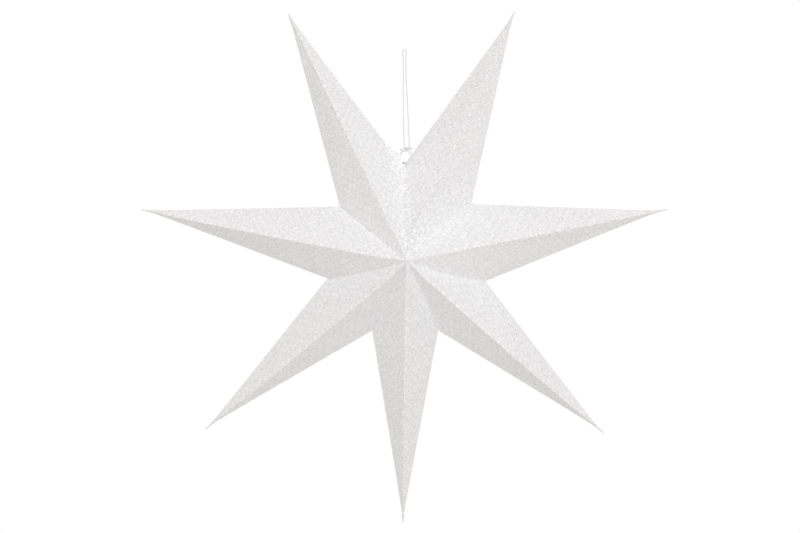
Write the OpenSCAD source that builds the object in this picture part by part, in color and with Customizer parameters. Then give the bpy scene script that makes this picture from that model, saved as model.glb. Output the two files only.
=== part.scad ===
// Seven-pointed hanging star of folded card. The star stands in the XZ plane with its front towards -Y,
// and the origin is where a hook carries the cord loop. Directions are degrees clockwise from straight up.

/* [Star] */
// Distance from the middle to where the two side folds of a point would meet
point_reach = 291.9; // [275:0.1:320]
// Length of a side fold, from there down to its valley
fold_length = 213.1; // [195:0.1:232]
// Height over the star's middle plane at which the front ridge lines meet
half_depth = 80; // [50:0.5:100]
// Thickness of the card
card_t = 0.4; // [0.3:0.05:0.8]
// Upright stretch of the star under its own weight
hang_sag = 1.015; // [1:0.001:1.03]
// Drop from the hook to the star's middle
middle_drop = 230.6; // [226:0.1:236]
// Sideways place of the star's middle under the hook
middle_shift = 1.4; // [0:0.1:2.5]

/* [Directions of the points] */
// Direction of the top right point
first_direction = 24.2; // [22:0.1:27]
// Angle from the top right point to the right point
gap_1 = 55.7; // [50:0.1:58]
// Angle from the right point to the lower right point
gap_2 = 51.4; // [48:0.1:55]
// Angle from the lower right point to the bottom point
gap_3 = 49.3; // [48:0.1:55]
// Angle from the bottom point to the lower left point
gap_4 = 49.2; // [48:0.1:55]
// Angle from the lower left point to the left point
gap_5 = 50.4; // [48:0.1:55]
// Angle from the left point to the top left point
gap_6 = 53.8; // [50:0.1:56]

/* [Pinched tips] */
// How far the pinched tip runs on past the place where the side folds would meet
tip_extra = 6.4; // [5.5:0.1:9]
// Width of the pinched tip, seen from the front
tip_w = 2.5; // [1.5:0.1:4]
// Depth of the pinched tip, from front to back
tip_d = 5; // [2:0.1:8]
// Thickness of the very end
tip_end = 1.1; // [0.8:0.1:2]

/* [Glue strips] */
// Width of the glue strips inside the valleys
strip_w = 8; // [4:0.5:14]
// Where the strips begin, out from the star's middle line
strip_start = 6; // [3:0.5:20]

/* [Closing seam] */
// How far the closing side fold of the top left point runs past the middle of the seam
closing_lap_left = 2.5; // [1.5:0.1:4]
// How far the closing side fold of the top right point runs past the middle of the seam
closing_lap_right = 6.5; // [5:0.1:8]
// Length of side fold that is slit open where the top left point laps the top right one
slit_length = 46; // [42:0.5:50]
// Length of the slanting cut from the start of the slit to the top of the ear, along the side fold
ear_cut = 28.5; // [25:0.5:31]
// How far the ear stands out past the line of the side fold
ear_w = 5.2; // [3:0.1:7]
// Length of the ear's edge, from its top to where the corner of the flap is cut off
ear_edge = 10; // [9:0.1:12]
// Height of the top of the ear over the star's middle plane
ear_rise = 2.5; // [2:0.1:4]
// Distance from the start of the slit to the end of the flap's bend, along the side fold
bend_reach = 38.8; // [37:0.1:41]
// Height of the end of that bend over the star's middle plane
bend_rise = 3; // [2:0.1:5]
// How far the lapping corner of the flap lies past the end of the slit
lap_past = 12.2; // [9:0.1:16]
// How far that corner lies inside the line of the side fold
lap_inset = 3.4; // [2:0.1:5]
// Height over where the ridges meet at which the edge of the flap turns in
lap_foot = 18.5; // [12:0.5:30]
// Reach of the flap there
lap_foot_reach = 4; // [2:0.1:5]
// Room between the flap and the card under it
lap_gap = 0.1; // [0.05:0.05:0.5]
// Diameter of the punched hole in each ear
ear_hole_d = 2.7; // [2.4:0.1:3.2]
// Distance of that hole from the top of the ear's edge, along it
ear_hole_along = 8.7; // [7:0.1:10]
// Distance of that hole from the ear's edge
ear_hole_inset = 2.1; // [1.8:0.1:4]
// Diameter of the punched hole in the side fold of the top right point
fold_hole_d = 3; // [2.4:0.1:4]
// Distance of that hole from where the side folds of the top right point would meet
fold_hole_reach = 189.5; // [184:0.5:195]

/* [Cord] */
// Diameter of the cord
cord_d = 1.2; // [0.8:0.1:1.5]
// Diameter of the small stopper knots at its two ends
stopper_d = 3.6; // [3:0.1:4.5]

/* [Hidden] */

card_colour = [0.93, 0.92, 0.9];
cord_colour = [0.96, 0.96, 0.98];

// Small ways in which the seven points differ, clockwise from the top right point: how much further their
// side folds meet, how much further their pinched tips run, and how far the valleys between them are off
reach_more = [-1.4, -0.6, 0.2, 1.6, -2.7, 1.7, 1.7];
tip_more = [-1, 1.6, 3.4, -1.2, 2.4, -0.4, -4.6];
valley_turn = [-0.7, 1.1, -0.1, -0.3, 0.1, 0.1];
valley_out = [-0.3, 2.1, -0.7, -0.3, 0.3, -0.4];

// The seven directions, clockwise from the top right point
gaps = [gap_1, gap_2, gap_3, gap_4, gap_5, gap_6];
function direction(i) = first_direction + (i == 0 ? 0 : direction(i - 1) - first_direction + gaps[i - 1]);

// The ridges meet a little above and to the left of the middle of the points
apex_off = [-0.7, 2.4];

// Plan points are [x, z] in the star's plane, with the place where the ridges meet at [0, 0]
function plan(angle, radius) = [radius * sin(angle), radius * cos(angle) * hang_sag] - apex_off;
function unit(p) = p / norm(p);
// A quarter turn clockwise
function across(p) = [p.y, -p.x];
// A plan point with its height towards the front, as a point of the part
function place(p, height) = [p.x + apex_off.x + middle_shift, -height, p.y + apex_off.y - middle_drop];

// Valley end between two points that are a gap apart
function valley_r(gap) =
    point_reach * cos(gap / 2) - sqrt(pow(fold_length, 2) - pow(point_reach * sin(gap / 2), 2));
function valley(i) = plan(direction(i) + gaps[i] / 2 + valley_turn[i], valley_r(gaps[i]) + valley_out[i]);
function reach(i) = point_reach + reach_more[i];
function tip(i) = plan(direction(i), reach(i));

// End of a side fold that leaves the tip of point i at a given angle to its axis; side is 1 clockwise, -1 not
function fold_end(i, side, angle, length) =
    let (along = reach(i) - length * cos(angle), off = length * sin(angle))
    plan(direction(i) + side * atan2(off, along), norm([along, off]));

last = len(gaps);
// Half of the angle between the top left point and the top right point, up to the middle of the seam
closing_half = (360 - (direction(last) - first_direction)) / 2;
// Angle between the axis of point i and its closing side fold, which runs past the middle of the seam
function closing_angle(i, lap) =
    asin((lap + reach(i) * sin(closing_half)) / fold_length) - closing_half;
closing_left = fold_end(last, 1, closing_angle(last, closing_lap_left), fold_length - slit_length);
closing_right = fold_end(0, -1, closing_angle(0, closing_lap_right), fold_length);

// The inside of the card is its outside drawn in towards the star's middle
mean_gap = 360 / (last + 1);
mean_rise = valley_r(mean_gap) * sin(mean_gap / 2) /
    (1 - valley_r(mean_gap) * cos(mean_gap / 2) / point_reach);
inner_k = 1 - card_t * norm([1 / point_reach, 1 / half_depth, 1 / mean_rise]);
// Height of the cut edge of the card along a valley
edge_h = half_depth * (1 - inner_k);
// The top right point starts a little lower, under the flap that laps it
lapped_depth = half_depth - edge_h - lap_gap;

// Places of the cross-sections of a point, as shares of its length, from its mouth to its tip
sections = [1, 0.7, 0.4, 0.2, 0.13, 0.09, 0.06, 0.04, 0.021, 0];
// The hollow ends after this many sections
hollow_sections = 5;
// The hollow ends this far short of where the side folds would meet
hollow_end = 7;

// A flat taper that widens into a blunt, pinched end
function pinched(slope, d, width, run) =
    d > run
        ? sqrt(pow(slope * (d - run), 2) + pow(width / 2, 2))
        : tip_end / 2 + (width - tip_end) / 2 * d / run;

// Point on a side fold at a share of its length from the tip; end is the fold's valley end, and run is how far
// the pinched tip runs on
function side_point(t, end, share, run) =
    let (
        axis = unit(t),
        side = across(axis),
        along = end * axis,
        off = end * side,
        d = share * (norm(t) + run - along),
        half = pinched(abs(off) / (norm(t) - along), d, tip_w, run)
    )
    share == 1 ? place(end, 0) : place(axis * (norm(t) + run - d) + side * sign(off) * half, 0);

// Point on a ridge at a share of its length from the tip; side is 1 in front and -1 behind
function ridge_point(t, depth, share, side, run) =
    let (d = share * (norm(t) + run))
    share == 1
        ? place([0, 0], side * depth)
        : place(unit(t) * (norm(t) + run - d), side * pinched(depth / norm(t), d, tip_d, run));

middle = place([0, 0], 0);
function drawn_in(p) = middle + inner_k * (p - middle);

// One hollow point: t is its tip, left and right are the valley ends of its side folds
module pouch_shell(t, left, right, depth, run) {
    outer = [
        for (share = sections)
            each [
                side_point(t, left, share, run),
                ridge_point(t, depth, share, 1, run),
                side_point(t, right, share, run),
                ridge_point(t, depth, share, -1, run)
            ]
    ];
    inner = [for (i = [0 : 4 * hollow_sections - 1]) drawn_in(outer[i])];
    hollow_tip = place(t * inner_k - unit(t) * hollow_end, 0);
    m = len(outer);
    end = len(sections) - 1;
    walls = [
        for (k = [0 : end - 1], j = [0 : 3])
            let (a = 4 * k + j, b = 4 * k + (j + 1) % 4)
            each [[a, a + 4, b + 4], [a, b + 4, b]]
    ];
    cap = [[4 * end + 3, 4 * end + 2, 4 * end + 1], [4 * end + 3, 4 * end + 1, 4 * end]];
    lining = [
        for (k = [0 : hollow_sections - 2], j = [0 : 3])
            let (a = m + 4 * k + j, b = m + 4 * k + (j + 1) % 4)
            each [[a, b + 4, a + 4], [a, b, b + 4]]
    ];
    inner_cap = [
        for (j = [0 : 3])
            let (base = m + 4 * (hollow_sections - 1))
            [base + j, base + (j + 1) % 4, m + 4 * hollow_sections]
    ];
    mouth = [
        for (j = [0 : 3])
            let (b = (j + 1) % 4)
            each [[j, b, m + b], [j, m + b, m + j]]
    ];
    polyhedron(
        points = concat(outer, inner, [hollow_tip]),
        faces = concat(walls, cap, lining, inner_cap, mouth)
    );
}

// A plate between two outlines with the same number of points; front is clockwise, seen from outside it
module plate(front, back) {
    n = len(front);
    polyhedron(
        points = concat(front, back),
        faces = concat(
            [[for (i = [0 : n - 1]) i]],
            [[for (i = [0 : n - 1]) 2 * n - 1 - i]],
            [for (i = [0 : n - 1]) let (b = (i + 1) % n) [i, n + i, n + b, b]]
        )
    );
}

// Glue strip inside a valley; end is the valley end, side is 1 where the pouch lies clockwise of it
module glue_strip(end, side, depth) {
    out = unit(end);
    inward = across(out) * side * card_t;
    r = norm(end);
    narrow = 1 - strip_w / (r * depth / norm([r, depth]));
    // The strip grows out of the middle of the card's thickness
    wide = (1 + inner_k) / 2;
    function at(rho, height, off) = place(out * rho + inward * off, height);
    for (face = [1, -1]) {
        outline = [
            [strip_start, depth * (wide - strip_start / r)],
            [r * wide, 0],
            [r * narrow, 0],
            [strip_start, depth * (narrow - strip_start / r)]
        ];
        near = [for (p = outline) at(p.x, face * p.y, 0)];
        far = [for (p = outline) at(p.x, face * p.y, 1)];
        if (side * face > 0) plate(far, near);
        else plate(near, far);
    }
}

// Height at a plan point, on the flat through the place where the ridges meet and the points a and b
function flat_height(p, top, a, height_a, b, height_b) =
    let (
        det = a.x * b.y - a.y * b.x,
        share_a = (p.x * b.y - p.y * b.x) / det,
        share_b = (a.x * p.y - a.y * p.x) / det
    )
    top * (1 - share_a - share_b) + height_a * share_a + height_b * share_b;

// Plan of the flap: it goes on from the top left point, bends in the seam and laps over the top right point
fold_line = unit(closing_left - tip(last));
ear_side = [-fold_line.y, fold_line.x];
ear_top = closing_left + fold_line * ear_cut + ear_side * ear_w;
ear_corner = ear_top + fold_line * ear_edge;
bend_end = closing_left + fold_line * bend_reach;
lap_corner = closing_left + fold_line * (slit_length + lap_past) - ear_side * lap_inset;
lap_turn = [lap_foot_reach, lap_foot];
ear_hole = ear_top + fold_line * ear_hole_along - ear_side * ear_hole_inset;

// Heights of the front of the flap where it lies on the top right point, where it goes on from the top left
// point, and on the strip between its bend and its lapped edge
function lapping(p) = flat_height(p, lapped_depth, tip(0), 0, closing_right, 0) + lap_gap + edge_h;
function going_on(p) = flat_height(p, half_depth, closing_left, 0, bend_end, bend_rise);
function bridging(p) = flat_height(p, half_depth, bend_end, bend_rise, lap_corner, lapping(lap_corner));

// A flat piece of the flap through plan points with given heights; face is 1 in front and -1 behind
module flap_sheet(points, heights, face) {
    upper = [for (i = [0 : len(points) - 1]) place(points[i], face * heights[i])];
    lower = [for (i = [0 : len(points) - 1]) place(points[i], face * (heights[i] - edge_h))];
    if (face > 0) plate(upper, lower);
    else plate(lower, upper);
}

// The flaps of the top left point, one in front and one behind, with their punched holes
module closing_flaps() {
    // The flap starts a little inside the point's own card
    inwards = -across(unit(closing_left)) * card_t / 2;
    goes_on = [[0, 0], closing_left / 100 + inwards, closing_left + inwards, closing_left, bend_end];
    strip = [[0, 0], bend_end, ear_corner, lap_corner];
    difference() {
        for (face = [1, -1]) {
            flap_sheet(goes_on, [for (p = goes_on) going_on(p)], face);
            flap_sheet(strip, [for (p = strip) bridging(p)], face);
            flap_sheet([[0, 0], lap_corner, lap_turn], [half_depth, lapping(lap_corner), lapping(lap_turn)], face);
            flap_sheet([closing_left, ear_top, bend_end], [0, ear_rise, bend_rise], face);
            flap_sheet([bend_end, ear_top, ear_corner], [bend_rise, ear_rise, bridging(ear_corner)], face);
        }
        translate(place(ear_hole, -half_depth))
            rotate([90, 0, 0])
                cylinder(d = ear_hole_d, h = 2 * half_depth, $fn = 32);
    }
}

module pouch(i) {
    left = i == 0 ? closing_right : valley(i - 1);
    right = i == last ? closing_left : valley(i);
    depth = i == 0 ? lapped_depth : half_depth;
    pouch_shell(tip(i), left, right, depth, tip_extra + tip_more[i]);
    glue_strip(left, 1, depth);
    if (i < last) glue_strip(right, -1, depth);
}

// A leg of the cord goes through this hole, square to the side fold of the top right point
fold_hole_at = fold_end(0, -1, closing_angle(0, closing_lap_right), fold_hole_reach);
fold_hole_out = unit(closing_right - tip(0));
fold_hole_turn = atan2(-fold_hole_out.y, fold_hole_out.x);

module point_top_right() {
    color(card_colour)
        difference() {
            pouch(0);
            translate(place(fold_hole_at, 0))
                rotate([0, fold_hole_turn, 0])
                    cylinder(d = fold_hole_d, h = 2 * fold_hole_d, center = true, $fn = 32);
        }
}

module point_right() {
    color(card_colour) pouch(1);
}

module point_lower_right() {
    color(card_colour) pouch(2);
}

module point_bottom() {
    color(card_colour) pouch(3);
}

module point_lower_left() {
    color(card_colour) pouch(4);
}

module point_left() {
    color(card_colour) pouch(5);
}

module point_top_left() {
    color(card_colour) {
        pouch(last);
        closing_flaps();
    }
}

// Cord routes are [x, y, z] points of the part, in order along the cord
ear_hole_h = (bend_rise + ear_rise) / 2;
fold_hole_in = [-fold_hole_out.y, fold_hole_out.x];
stopper_gap = 0.4;
stopper_room = stopper_d / 2 + stopper_gap;
// The stopper in the side fold sits a little deeper, where the fold is wide enough for it
wedge_room = 0.86 * stopper_d;
loop_route = [
    [-0.2, 0, -107.2], [-0.6, 0, -100], [-0.9, 0, -80], [-1.1, 0, -60], [-1.2, 0, -40],
    [-1.2, 0, -20], [-1.3, 0, -12], [-1.6, 0, -6], [-2, 0, -2.5], [-2, 0, -1.2],
    [-1.4, 0, 0.1], [0, 0, 0.6], [1.4, 0, 0.1], [2, 0, -1.2], [2, 0, -2.5],
    [1.6, 0, -6], [1.4, 0, -12], [1.6, 0, -20], [2.4, 0, -40], [3.4, 0, -60],
    [4.4, 0, -80], [5.3, 0, -100], [5.6, 0, -107.2]
];
left_cord = [
    [-0.2, 0, -107.2], [-0.15, 0, -107.8], [0.6, -0.8, -108.2], [2.6, -1, -108], [5.4, -0.9, -108],
    [7.6, -0.4, -108.4], [8.2, 0, -109.4], [7.4, 0.2, -110.3], [5, 0.2, -110.5], [1.6, 0.2, -110.6],
    [-0.6, 0, -111.2], [-2, 0, -112.4], [-3.6, 0, -114.2], [-4.6, -0.1, -116.3], [-4.4, -0.5, -118.7],
    [-3.4, -1, -121.1], [-2.1, -0.9, -123.2],
    place(ear_hole + [-0.45, 0.6], 0),
    place(ear_hole, -1.6),
    place(ear_hole, -ear_hole_h - stopper_room)
];
right_cord = [
    [5.6, 0, -107.2], [5.64, 0, -107.8], [4.6, 0.7, -109], [1.6, 0.6, -109.2], [-1.6, 0.3, -109.2],
    [-3.4, -0.1, -109.5], [-4.2, -0.4, -110.5], [-3.4, -0.8, -111.5], [-0.8, -1, -111.7],
    [2.4, -1, -111.7], [4.2, -0.8, -112.2], [5.6, -0.4, -113.2],
    place(fold_hole_at - fold_hole_in, 0),
    place(fold_hole_at + fold_hole_in * wedge_room, 0)
];

function along(points, i) =
    unit3(points[min(i + 1, len(points) - 1)] - points[max(i - 1, 0)]);
function unit3(v) = v / norm(v);
// A cross direction that turns little from ring to ring: the routes run mostly in the XZ plane
function lift(v) = unit3(cross(v, [0.02, 1, 0.01]));

cord_sides = 8;
module cord(points) {
    rings = [
        for (i = [0 : len(points) - 1])
            let (v = along(points, i), u = lift(v), w = cross(v, u))
            each [
                for (j = [0 : cord_sides - 1])
                    let (a = 360 * j / cord_sides)
                    points[i] + (u * cos(a) + w * sin(a)) * cord_d / 2
            ]
    ];
    n = cord_sides;
    end = len(points) - 1;
    polyhedron(
        points = rings,
        faces = concat(
            [[for (j = [0 : n - 1]) j]],
            [
                for (i = [0 : end - 1], j = [0 : n - 1])
                    let (a = n * i + j, b = n * i + (j + 1) % n)
                    [a, a + n, b + n, b]
            ],
            [[for (j = [0 : n - 1]) n * end + n - 1 - j]]
        )
    );
}

module closing_knot() {
    color(cord_colour)
        union() {
            cord(left_cord);
            cord(right_cord);
            for (end = [left_cord[len(left_cord) - 1], right_cord[len(right_cord) - 1]])
                translate(end)
                    sphere(d = stopper_d, $fn = 24);
        }
}

module hanging_loop() {
    color(cord_colour) cord(loop_route);
}

point_top_right();
point_right();
point_lower_right();
point_bottom();
point_lower_left();
point_left();
point_top_left();
closing_knot();
hanging_loop();
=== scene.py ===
"""Looks of a hanging star of folded white card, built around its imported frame.

Lengths in this file are millimetres in the star's own terms and become metres when a mesh is made.
Plan points are (x, z) in the star's plane, measured from the place where its ridges meet.
Heights are measured from the star's middle plane towards the front.
"""

import math

import bmesh
import bpy
import numpy as np
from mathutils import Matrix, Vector
from mathutils.bvhtree import BVHTree


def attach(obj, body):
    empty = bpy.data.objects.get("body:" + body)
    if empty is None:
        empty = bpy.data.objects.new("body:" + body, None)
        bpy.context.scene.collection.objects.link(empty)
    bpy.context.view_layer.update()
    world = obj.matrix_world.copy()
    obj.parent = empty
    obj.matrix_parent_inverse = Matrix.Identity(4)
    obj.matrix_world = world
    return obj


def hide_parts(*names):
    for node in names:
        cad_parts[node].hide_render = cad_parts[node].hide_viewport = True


MM = 0.001
IMAGE_W, IMAGE_H = 800, 533

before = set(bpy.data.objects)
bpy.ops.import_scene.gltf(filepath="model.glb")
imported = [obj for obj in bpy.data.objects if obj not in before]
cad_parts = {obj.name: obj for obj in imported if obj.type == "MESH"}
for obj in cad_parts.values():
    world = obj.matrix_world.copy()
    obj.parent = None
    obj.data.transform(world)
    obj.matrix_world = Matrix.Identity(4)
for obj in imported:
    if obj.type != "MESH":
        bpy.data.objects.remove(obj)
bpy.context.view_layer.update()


def add_object(name, data):
    """A new object in the scene."""
    obj = bpy.data.objects.new(name, data)
    bpy.context.scene.collection.objects.link(obj)
    return obj


# Camera

STAR_MIDDLE = Vector((1.4, 0, -230.6))
CAMERA_OFFSET = Vector((-39, -1495, 112))
FOCAL_PX = 1335
MIDDLE_PX = (405.7, 257.2)
SENSOR_W = 36
CLIP_START, CLIP_END = 0.05, 60


def make_camera():
    """The camera looks at the star's middle, which a shift of the lens puts at MIDDLE_PX."""
    data = bpy.data.cameras.new("camera")
    camera = add_object("camera", data)
    camera.location = (STAR_MIDDLE + CAMERA_OFFSET) * MM
    camera.rotation_euler = (-CAMERA_OFFSET).to_track_quat("-Z", "Y").to_euler()
    data.sensor_width = SENSOR_W
    data.lens = FOCAL_PX * SENSOR_W / IMAGE_W
    data.shift_x = (IMAGE_W / 2 - MIDDLE_PX[0]) / IMAGE_W
    data.shift_y = (MIDDLE_PX[1] - IMAGE_H / 2) / IMAGE_W
    data.clip_start = CLIP_START
    data.clip_end = CLIP_END
    bpy.context.scene.camera = camera


make_camera()

# Meshes

WELD_PER_MM = 1000


def new_object(name, verts_m, faces, uvs):
    """A smooth mesh with its card coordinates, as a new object."""
    mesh = bpy.data.meshes.new(name)
    mesh.from_pydata([tuple(v) for v in verts_m], [], faces)
    layer = mesh.uv_layers.new(name="card")
    layer.data.foreach_set("uv", np.asarray(uvs, dtype=np.float32).ravel())
    mesh.polygons.foreach_set("use_smooth", [True] * len(mesh.polygons))
    mesh.update()
    return add_object(name, mesh)


class Skin:
    """Grids of points that are welded into one mesh. Each face keeps its own card coordinates."""

    def __init__(self):
        self.points, self.quads, self.uvs = [], [], []
        self.count = 0

    def grid(self, points, uv, flip=False):
        """Faces between all neighbours in rows and columns of points."""
        n, m = points.shape[:2]
        index = self.count + np.arange(n * m).reshape(n, m)
        corners = [index[:-1, :-1], index[1:, :-1], index[1:, 1:], index[:-1, 1:]]
        quads = np.stack(corners, -1).reshape(-1, 4)
        if flip:
            quads = quads[:, ::-1]
        self.points.append(points.reshape(-1, 3))
        self.uvs.append(uv.reshape(-1, 2))
        self.quads.append(quads)
        self.count += n * m

    def band(self, upper, lower, uv, flip=False):
        """One row of faces between two rows of points with the same card coordinates."""
        self.grid(np.stack([upper, lower], 0), np.stack([uv, uv], 0), flip)

    def polygon(self, points, uv):
        """One flat face, as a grid of its own."""
        self.points.append(np.asarray(points, float))
        self.uvs.append(np.asarray(uv, float))
        self.quads.append([list(range(self.count, self.count + len(points)))])
        self.count += len(points)

    def make(self, name):
        """The object, with points that agree to a thousandth of a millimetre made one."""
        points = np.concatenate(self.points)
        uvs = np.concatenate(self.uvs)
        key = np.round(points * WELD_PER_MM).astype(np.int64)
        _, first, same = np.unique(key, axis=0, return_index=True, return_inverse=True)
        same = same.ravel()
        faces, corners = [], []
        for block in self.quads:
            for quad in block:
                kept = []
                for i in quad:
                    if not kept or same[kept[-1]] != same[i]:
                        kept.append(int(i))
                if len(kept) > 1 and same[kept[0]] == same[kept[-1]]:
                    kept.pop()
                if len(kept) < 3 or len({int(same[i]) for i in kept}) < len(kept):
                    continue
                faces.append([int(same[i]) for i in kept])
                corners.extend(kept)
        return new_object(name, points[first] * MM, faces, uvs[corners])


# The star's plan, with the sizes of the CAD part

POINT_REACH = 291.9
FOLD_LENGTH = 213.1
HALF_DEPTH = 80.0
CARD_T = 0.4
HANG_SAG = 1.015
FIRST_DIRECTION = 24.2
GAPS = [55.7, 51.4, 49.3, 49.2, 50.4, 53.8]
REACH_MORE = [-1.4, -0.6, 0.2, 1.6, -2.7, 1.7, 1.7]
TIP_MORE = [-1, 1.6, 3.4, -1.2, 2.4, -0.4, -4.6]
VALLEY_TURN = [-0.7, 1.1, -0.1, -0.3, 0.1, 0.1]
VALLEY_OUT = [-0.3, 2.1, -0.7, -0.3, 0.3, -0.4]
# Where the ridges meet, from the middle that the directions are measured from
APEX_OFF = np.array((-0.7, 2.4))
TIP_EXTRA, TIP_W, TIP_D, TIP_END = 6.4, 2.5, 5.0, 1.1
CLOSING_LAP_LEFT, CLOSING_LAP_RIGHT, SLIT_LENGTH = 2.5, 6.5, 46.0
EAR_CUT, EAR_W, EAR_RISE = 28.5, 5.2, 2.5
BEND_REACH, BEND_RISE = 38.8, 3.0
LAP_GAP = 0.1
EAR_HOLE_ALONG, EAR_HOLE_INSET = 8.7, 2.1
FOLD_HOLE_D, FOLD_HOLE_REACH = 3.0, 189.5
# The ear's hole is narrower than in the CAD part, where the cord passes it with room
EAR_HOLE_D = 1.9
# Size of a pouch's inside as a share of its outside
INNER_K = 0.99111
# Height of the card of the flap's edge, and the depth of the top right point, which the flap lies on
EDGE_H = 0.71
LAPPED_DEPTH = 79.19
LAST = len(GAPS)
NAMES = ["top_right", "right", "lower_right", "bottom", "lower_left", "left", "top_left"]


def direction(i):
    """Direction of point i, in degrees clockwise from straight up."""
    return FIRST_DIRECTION + sum(GAPS[:i])


def plan(angle, radius):
    """Plan point at a direction and a distance, with the star's stretch as it hangs."""
    a = math.radians(angle)
    return np.array((radius * math.sin(a), radius * math.cos(a) * HANG_SAG)) - APEX_OFF


def valley(i):
    """Outer end of the valley that is clockwise of point i."""
    half = math.radians(GAPS[i] / 2)
    r = POINT_REACH * math.cos(half) - math.sqrt(FOLD_LENGTH**2 - (POINT_REACH * math.sin(half)) ** 2)
    return plan(direction(i) + GAPS[i] / 2 + VALLEY_TURN[i], r + VALLEY_OUT[i])


def tip(i):
    """Where the side folds of point i would meet."""
    return plan(direction(i), POINT_REACH + REACH_MORE[i])


def fold_end(i, side, angle, length):
    """End of a side fold of point i that has this length and leaves the tip at this angle to the ridge."""
    a = math.radians(angle)
    along = POINT_REACH + REACH_MORE[i] - length * math.cos(a)
    off = length * math.sin(a)
    return plan(direction(i) + side * math.degrees(math.atan2(off, along)), math.hypot(along, off))


def unit(p):
    """The same direction, with the length 1."""
    return p / np.linalg.norm(p)


def across(p):
    """The plan direction a quarter turn clockwise of p."""
    return np.array((p[1], -p[0]))


def place(p, height):
    """Plan points and heights towards the front, as points of the part."""
    p = np.asarray(p, float)
    return np.stack(
        [
            p[..., 0] + APEX_OFF[0] + STAR_MIDDLE.x,
            -np.asarray(height, float) + 0 * p[..., 0],
            p[..., 1] + APEX_OFF[1] + STAR_MIDDLE.z,
        ],
        -1,
    )


def tip_end(i):
    """The very end of the pinched tip of point i."""
    t = tip(i)
    return place(unit(t) * (np.linalg.norm(t) + TIP_EXTRA + TIP_MORE[i]), 0)


CLOSING_HALF = (360 - sum(GAPS)) / 2


def closing_angle(i, lap):
    """Angle at the tip of a closing side fold that ends this far past the middle of the seam."""
    reach = POINT_REACH + REACH_MORE[i]
    share = (lap + reach * math.sin(math.radians(CLOSING_HALF))) / FOLD_LENGTH
    return math.degrees(math.asin(share)) - CLOSING_HALF


def flat_height(p, a, b, heights):
    """Height at plan points on the flat through the place where the ridges meet and two more points."""
    det = a[0] * b[1] - a[1] * b[0]
    s = (p[..., 0] * b[1] - p[..., 1] * b[0]) / det
    u = (a[0] * p[..., 1] - a[1] * p[..., 0]) / det
    return heights[0] * (1 - s - u) + heights[1] * s + heights[2] * u


CLOSING_LEFT = fold_end(LAST, 1, closing_angle(LAST, CLOSING_LAP_LEFT), FOLD_LENGTH - SLIT_LENGTH)
CLOSING_RIGHT = fold_end(0, -1, closing_angle(0, CLOSING_LAP_RIGHT), FOLD_LENGTH)

FOLD_LINE = unit(CLOSING_LEFT - tip(LAST))
EAR_SIDE = np.array((-FOLD_LINE[1], FOLD_LINE[0]))
EAR_TOP = CLOSING_LEFT + FOLD_LINE * EAR_CUT + EAR_SIDE * EAR_W
BEND_END = CLOSING_LEFT + FOLD_LINE * BEND_REACH
EAR_HOLE = EAR_TOP + FOLD_LINE * EAR_HOLE_ALONG - EAR_SIDE * EAR_HOLE_INSET


def lapping(p):
    """Height of the front of the flap where it lies on the top right point."""
    return flat_height(p, tip(0), CLOSING_RIGHT, (LAPPED_DEPTH, 0, 0)) + LAP_GAP + EDGE_H


FOLD_HOLE = fold_end(0, -1, closing_angle(0, CLOSING_LAP_RIGHT), FOLD_HOLE_REACH)
FOLD_HOLE_OUT = unit(CLOSING_RIGHT - tip(0))
FOLD_HOLE_IN = np.array((-FOLD_HOLE_OUT[1], FOLD_HOLE_OUT[0]))

# Cord

CORD_D = 1.2
STOPPER_D = 3.6
# The same points as the cord routes of the CAD part
LOOP_ROUTE = [
    (-0.2, 0, -107.2), (-0.6, 0, -100), (-0.9, 0, -80), (-1.1, 0, -60), (-1.2, 0, -40),
    (-1.2, 0, -20), (-1.3, 0, -12), (-1.6, 0, -6), (-2, 0, -2.5), (-2, 0, -1.2),
    (-1.4, 0, 0.1), (0, 0, 0.6), (1.4, 0, 0.1), (2, 0, -1.2), (2, 0, -2.5),
    (1.6, 0, -6), (1.4, 0, -12), (1.6, 0, -20), (2.4, 0, -40), (3.4, 0, -60),
    (4.4, 0, -80), (5.3, 0, -100), (5.6, 0, -107.2),
]
STOPPER_GAP = 0.4
STOPPER_ROOM = STOPPER_D / 2 + STOPPER_GAP
# How far in from its hole the right stopper knot sits, where the two facets leave it room
WEDGE_ROOM = 0.86 * STOPPER_D
EAR_HOLE_H = (BEND_RISE + EAR_RISE) / 2
# The left leg goes down between the two ears and out through the hole of the back one
LEFT_CORD = [
    (-0.2, 0, -107.2), (-0.15, 0, -107.8), (0.6, -0.8, -108.2), (2.6, -1, -108), (5.4, -0.9, -108),
    (7.6, -0.4, -108.4), (8.2, 0, -109.4), (7.4, 0.2, -110.3), (5, 0.2, -110.5), (1.6, 0.2, -110.6),
    (-0.6, 0, -111.2), (-2, 0, -112.4), (-3.6, 0, -114.2), (-4.6, -0.1, -116.3), (-4.4, -0.5, -118.7),
    (-3.4, -1, -121.1), (-2.1, -0.9, -123.2),
    place(EAR_HOLE + (-0.45, 0.6), 0),
    place(EAR_HOLE, -1.6),
    place(EAR_HOLE, -EAR_HOLE_H - STOPPER_ROOM),
]
RIGHT_CORD = [
    (5.6, 0, -107.2), (5.64, 0, -107.8), (4.6, 0.7, -109), (1.6, 0.6, -109.2), (-1.6, 0.3, -109.2),
    (-3.4, -0.1, -109.5), (-4.2, -0.4, -110.5), (-3.4, -0.8, -111.5), (-0.8, -1, -111.7),
    (2.4, -1, -111.7), (4.2, -0.8, -112.2), (5.6, -0.4, -113.2),
    place(FOLD_HOLE - FOLD_HOLE_IN, 0),
    place(FOLD_HOLE + FOLD_HOLE_IN * WEDGE_ROOM, 0),
]
# Points of a smooth route between two given ones, and the pull of the given ones on its direction
ROUTE_FINE = 40
ROUTE_PULL = 0.5


def run_along(points):
    """Distance along a row of points, from the first to each."""
    return np.concatenate([[0], np.cumsum(np.linalg.norm(np.diff(points, axis=0), axis=1))])


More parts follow.
